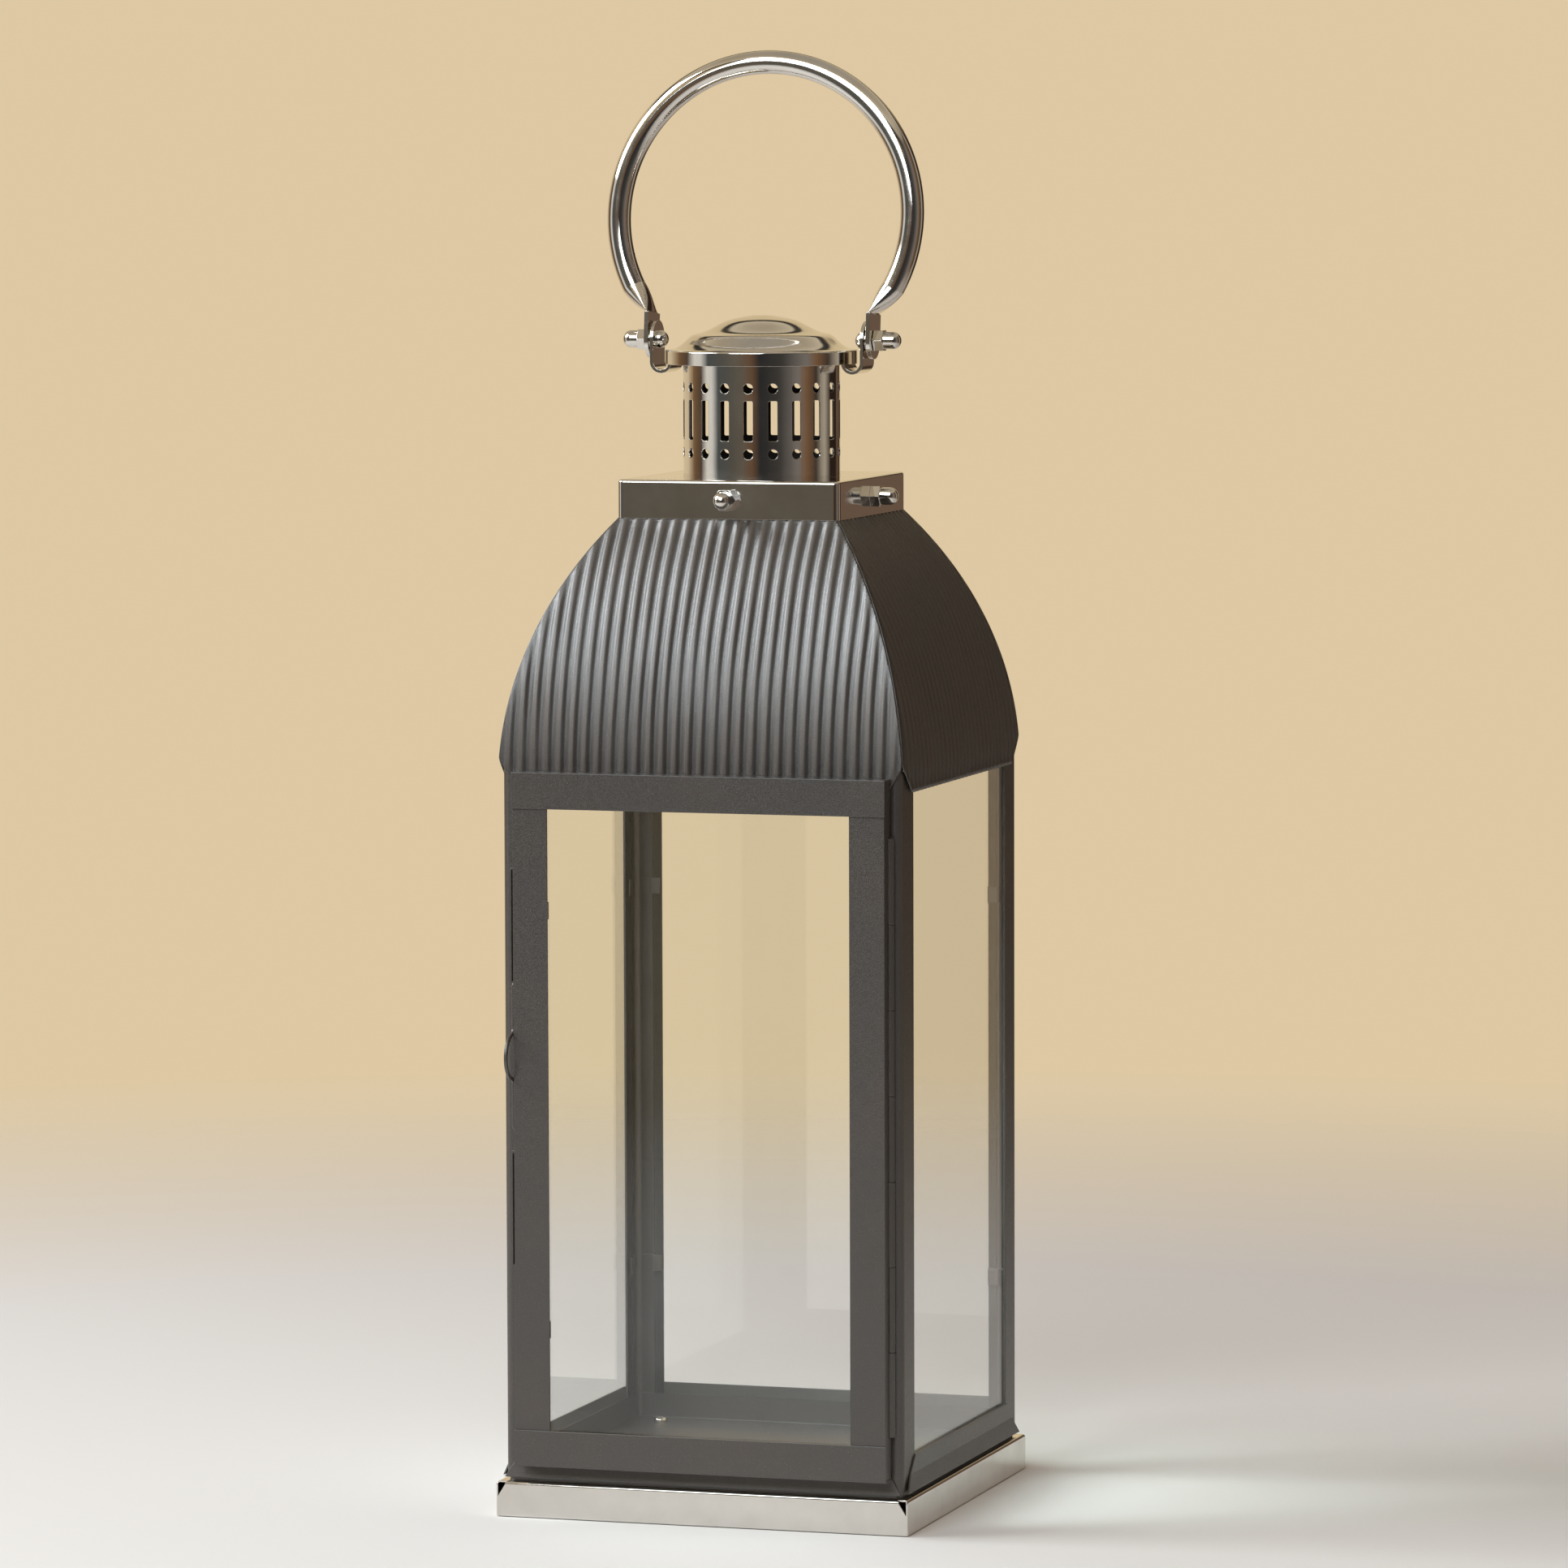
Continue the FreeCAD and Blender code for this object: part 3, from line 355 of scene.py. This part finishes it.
# Clear glass: lamps shine through it, and its cut edges, which face away from the pane's axis, look green
def clear_glass(name, axis):
    material, tree = new_material(name)
    film = noise_tex(tree, coordinate(tree, "Object"), scale=18.0, detail=3.0, rough=0.6)
    across = number(tree, "ABSOLUTE", vector(tree, "DOT_PRODUCT", coordinate(tree, "Normal"), axis))
    edge = remap(tree, across, (0.3, 0.7), (1.0, 0.0))
    colour = mix_colour(tree, edge, ramp(tree, film, GLASS), GLASS_EDGE)
    rough = remap(tree, film, (0.3, 0.7), (0.0, 0.015))
    pane = principled(tree, Base_Color=colour, Roughness=rough, IOR=1.48, Transmission_Weight=1.0)
    shade = one_colour(tree, "ShaderNodeBsdfTransparent", GLASS_SHADOW)
    shadow_ray = add(tree, "ShaderNodeLightPath").outputs["Is Shadow Ray"]
    output(tree, mix_shader(tree, shadow_ray, pane, shade))
    return material


# Roof curve, as in the solids: half the width at the eave, and the arc's radius
def roof_curve():
    ease = 0.0
    for _ in range(5):
        half = BODY_HALF + (RIB_DEPTH + ROOF_SHEET) / 2 + ease
        run = half - COLLAR_INNER
        radius = (RISE ** 2 + run ** 2) / (2 * run)
        ease = radius - math.sqrt(radius ** 2 - POST_LAP ** 2)
    return half, radius


EAVE_HALF, ROOF_RADIUS = roof_curve()


def clamp(value, limit):
    return min(max(value, -limit), limit)


# From a least share at low to the whole at high
def grow(value, least, low, high):
    t = min(max((value - low) / (high - low), 0.0), 1.0)
    return least + (1 - least) * t * t * (3 - 2 * t)


def slow_wave(x, rise, lengths, seed):
    return noise.noise(Vector((x / lengths[0], rise / lengths[1], seed)))


# Height of the ribs over the middle of the sheet: round waves that are pressed flatter at the eave and the
# collar, and along the hips, where the side panels end in a smooth strip
def rib_height(side, x, rise, margin):
    seed = SIDE_SEED * TURNS[side] / 90
    bend = BEND * slow_wave(x, rise, BEND_WAVE, seed)
    depth = DEPTH + DEPTH_CHANGE * slow_wave(x, rise, DEPTH_WAVE, seed + DEPTH_SEED)
    fade = grow(rise, *EAVE_FADE) * grow(RISE - rise, *COLLAR_FADE) * grow(margin, RIMS[side], *HIP_FADE)
    return RIB_DEPTH / 2 * fade * min(1.0, depth) * math.cos(2 * math.pi * x / RIB_PITCH + bend)


# A point of a panel's arc, drawn at the front, with its height on the ribs, from -1 in a valley to 1 on a
# crest
def arc_point(side, x, angle):
    half = EAVE_HALF - ROOF_RADIUS * (1 - math.cos(angle))
    rise = ROOF_RADIUS * math.sin(angle)
    edge = min(half - HIP_GAP, EAVE_HALF - CUTS[side] + CUTS[side] / CUT_HEIGHT * rise)
    x = clamp(x, edge)
    lift = rib_height(side, x, rise, edge - abs(x))
    place = (x, -half - lift * math.cos(angle), max(EAVE + rise + lift * math.sin(angle), EAVE))
    return place, lift / (RIB_DEPTH / 2)


# A point of the flat flange inside the collar
def flange_point(x, rise):
    return (clamp(x, FLANGE_HALF), ROOF_SHEET / 2 - COLLAR_INNER, EAVE + RISE + rise), 0.0


def roof_skin(side):
    step = RIB_PITCH / RIB_COLUMNS
    reach = int(EAVE_HALF / step) + 1
    columns = [i * step for i in range(-reach, reach + 1)]
    sweep = math.asin((RISE - FIT) / ROOF_RADIUS)
    rows = [[arc_point(side, x, sweep * i / ARC_ROWS) for x in columns] for i in range(ARC_ROWS + 1)]
    rows += [[flange_point(x, rise) for x in columns] for rise in FLANGE_ROWS]
    mesh = bmesh.new()
    crest = mesh.verts.layers.float.new("crest")
    grid = []
    for row in rows:
        line = []
        for place, share in row:
            point = mesh.verts.new([value * MM for value in place])
            point[crest] = share
            line.append(point)
        grid.append(line)
    for low, high in zip(grid, grid[1:]):
        for i in range(len(low) - 1):
            mesh.faces.new((low[i], low[i + 1], high[i + 1], high[i]))
    bmesh.ops.remove_doubles(mesh, verts=mesh.verts, dist=SAME_POINT)
    bmesh.ops.dissolve_degenerate(mesh, edges=mesh.edges, dist=SAME_EDGE)
    bmesh.ops.recalc_face_normals(mesh, faces=mesh.faces)
    for face in mesh.faces:
        face.smooth = True
    data = bpy.data.meshes.new("roof_skin_" + side)
    mesh.to_mesh(data)
    mesh.free()
    data.transform(Matrix.Rotation(math.radians(TURNS[side]), 4, "Z"))
    piece = bpy.data.objects.new("roof_skin_" + side, data)
    scene.collection.objects.link(piece)
    shell = piece.modifiers.new("sheet", "SOLIDIFY")
    shell.thickness = ROOF_SHEET * MM
    shell.offset = 0.0
    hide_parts("roof_panel_" + side)
    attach(piece, "lantern_body")
    return piece


# Every node's material, by its slot in the record and its name
coat = powder_coat()
flat_steel = polished_nickel("nickel_flat", (60.0, 60.0, 2600.0), polish=0.04, ripple=0.10)
round_steel = polished_nickel("nickel_round", (900.0, 900.0, 900.0), polish=0.008, ripple=0.05)
tube_steel = polished_nickel("nickel_tube", (700.0, 700.0, 12.0), polish=0.05, ripple=0.16, darkened_inside=True)
side_glass = clear_glass("clear_glass_side", (1.0, 0.0, 0.0))
front_glass = clear_glass("clear_glass_front", (0.0, 1.0, 0.0))
for entry in frame["record"]["subparts"]:
    name, slot = entry["node"], entry["material_slot"]
    if slot == "clear_glass":
        material = side_glass if name in ("glass_left", "glass_right") else front_glass
    elif slot == "black_coat":
        material = coat
    elif name == "chimney_tube":
        material = tube_steel
    else:
        material = round_steel if any(word in name for word in ROUND_WORDS) else flat_steel
    data = frame["nodes"][name].data
    data.materials.clear()
    data.materials.append(material)

for side in TURNS:
    roof_skin(side).data.materials.append(coat)


def floor_material():
    material, tree = new_material("floor")
    far = remap(tree, vector(tree, "LENGTH", geometry(tree, "Position")), FLOOR_FADE)
    near = one_colour(tree, "ShaderNodeBsdfDiffuse", FLOOR_COLOUR)
    clear = one_colour(tree, "ShaderNodeBsdfTransparent", WHITE)
    output(tree, mix_shader(tree, far, near, clear))
    return material


def build_floor():
    mesh = bmesh.new()
    bmesh.ops.create_circle(mesh, cap_ends=True, radius=FLOOR_RADIUS, segments=FLOOR_SIDES)
    data = bpy.data.meshes.new("floor")
    mesh.to_mesh(data)
    mesh.free()
    data.materials.append(floor_material())
    floor = bpy.data.objects.new("floor", data)
    floor.location.z = -FLOOR_DROP
    scene.collection.objects.link(floor)


build_floor()


# World: the backdrop for what the camera sees, also through glass, the room for what metal mirrors, and an
# even fill for dull surfaces
def build_world():
    world = bpy.data.worlds.new("studio")
    scene.world = world
    world.use_nodes = True
    tree = world.node_tree
    tree.nodes.clear()
    way = add(tree, "ShaderNodeSeparateXYZ")
    put(tree, way, Vector=coordinate(tree, "Generated"))
    right, rear, up = way.outputs["X"], way.outputs["Y"], way.outputs["Z"]
    turn = number(tree, "ARCTAN2", right, number(tree, "MULTIPLY", rear, -1.0))
    horizon = ramp(tree, remap(tree, turn, (-math.pi, math.pi)), HORIZON)
    height = number(tree, "MULTIPLY_ADD", number(tree, "MAXIMUM", right, 0.0), RIGHT_LEAN, up)
    room = mix_colour(tree, remap(tree, height, OVERHEAD_START), horizon, ramp(tree, up, OVERHEAD))
    ray = add(tree, "ShaderNodeLightPath").outputs
    seen = number(tree, "MAXIMUM", ray["Is Camera Ray"], ray["Is Transmission Ray"])
    view = background(tree, mix_colour(tree, seen, room, BACKDROP))
    fill = background(tree, FILL, FILL_STRENGTH)
    output(tree, mix_shader(tree, ray["Is Diffuse Ray"], view, fill), "ShaderNodeOutputWorld")


build_world()


def area_lamp(name, place, target, size, power, colour):
    lamp = bpy.data.lights.new(name, "AREA")
    lamp.shape = "RECTANGLE"
    lamp.size, lamp.size_y = size
    lamp.energy = power
    lamp.color = colour
    item = bpy.data.objects.new(name, lamp)
    item.location = place
    item.rotation_euler = (Vector(target) - Vector(place)).to_track_quat("-Z", "Y").to_euler()
    scene.collection.objects.link(item)


area_lamp("window", place=(-0.12, -2.2, 1.85), target=(0, 0, 0.40), size=(1.7, 1.5),
          power=41.0, colour=(0.85, 0.94, 1.0))
area_lamp("key", place=(-2.3, -0.9, 2.0), target=(0, 0, 0.2), size=(1.5, 1.5),
          power=73.0, colour=(0.88, 0.95, 1.0))


def build_camera():
    yaw, pitch, roll = (math.radians(angle) for angle in (CAMERA_YAW, CAMERA_PITCH, CAMERA_ROLL))
    back = Vector((math.sin(yaw) * math.cos(pitch), -math.cos(yaw) * math.cos(pitch), math.sin(pitch)))
    right = (-back).cross(Vector((0, 0, 1))).normalized()
    up = right.cross(-back)
    across = right * math.cos(roll) + up * math.sin(roll)
    above = up * math.cos(roll) - right * math.sin(roll)
    data = bpy.data.cameras.new("camera")
    data.sensor_width = SENSOR
    data.lens = SENSOR * LENS_PIXELS / PHOTO_PIXELS
    data.clip_end = FAR_CLIP
    camera = bpy.data.objects.new("camera", data)
    turn = Matrix((across, above, back)).transposed().to_4x4()
    camera.matrix_world = Matrix.Translation(CAMERA_PLACE) @ turn
    scene.collection.objects.link(camera)
    scene.camera = camera


build_camera()
